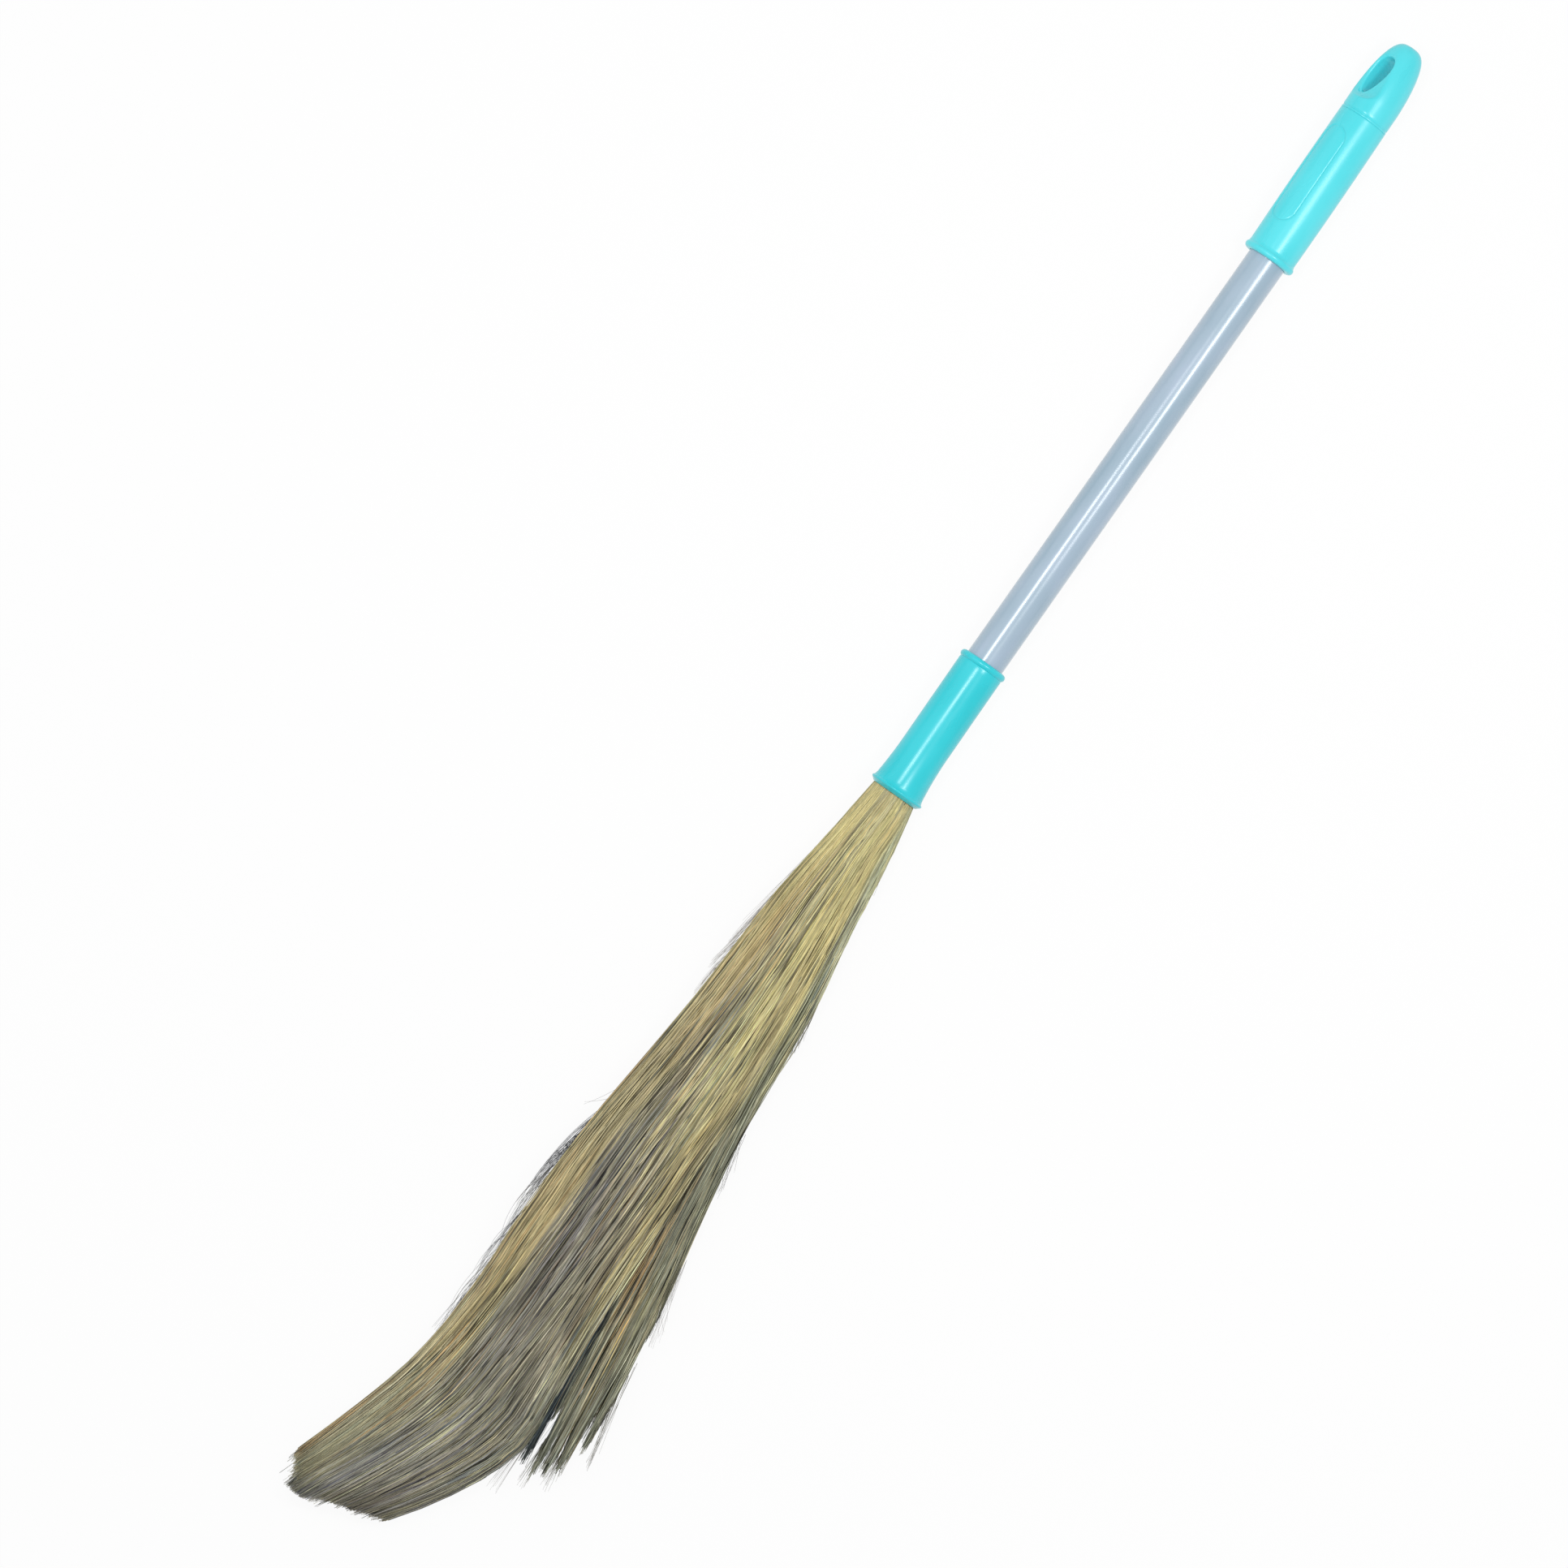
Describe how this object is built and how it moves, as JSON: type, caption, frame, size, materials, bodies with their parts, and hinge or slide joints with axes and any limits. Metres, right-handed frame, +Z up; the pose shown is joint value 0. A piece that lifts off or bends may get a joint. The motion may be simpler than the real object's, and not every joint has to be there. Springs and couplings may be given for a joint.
{
  "type": "straw broom",
  "caption": "Long-handled grass broom: a steel tube with a moulded grip and hanging eye, and a moulded ferrule that holds a flat fan of dry stalks swept to one side.",
  "frame": {"origin": "on the floor under the middle of the lying broom's box", "axes": "+X along the handle from the straw's tips to the hanging end, +Z up from the floor that the broom lies on, +Y to the side that the straw's tips sweep to"},
  "size_m": [0.9742, 0.1224, 0.0318],
  "materials": {
    "grip_plastic": "glossy turquoise moulding",
    "ferrule_plastic": "glossy turquoise moulding, a little deeper",
    "tube_paint": "grey-blue gloss coating",
    "plug_wood": "plain turned dowel",
    "bare_steel": "drawn wire",
    "straw_light": "dry yellow-tan grass stalks",
    "straw_olive": "dry olive grass stalks",
    "straw_grey": "dry grey-brown grass stalks"
  },
  "bodies": {
    "root": {"hang_end": "grip_plastic", "grip_sleeve": "grip_plastic", "handle_tube": "tube_paint", "ferrule": "ferrule_plastic", "wedge_plug": "plug_wood", "ferrule_nail": "bare_steel", "binding_wire": "bare_steel", "straw_inner_01": "straw_light", "straw_inner_02": "straw_olive", "straw_inner_03": "straw_grey", "straw_inner_04": "straw_light", "straw_inner_05": "straw_olive", "straw_inner_06": "straw_grey", "straw_outer_01": "straw_light", "straw_outer_02": "straw_olive", "straw_outer_03": "straw_grey", "straw_outer_04": "straw_light", "straw_outer_05": "straw_olive", "straw_outer_06": "straw_grey", "straw_outer_07": "straw_light", "straw_outer_08": "straw_olive", "straw_outer_09": "straw_grey", "straw_outer_10": "straw_light", "straw_outer_11": "straw_olive", "straw_outer_12": "straw_grey"}
  },
  "joints": []
}
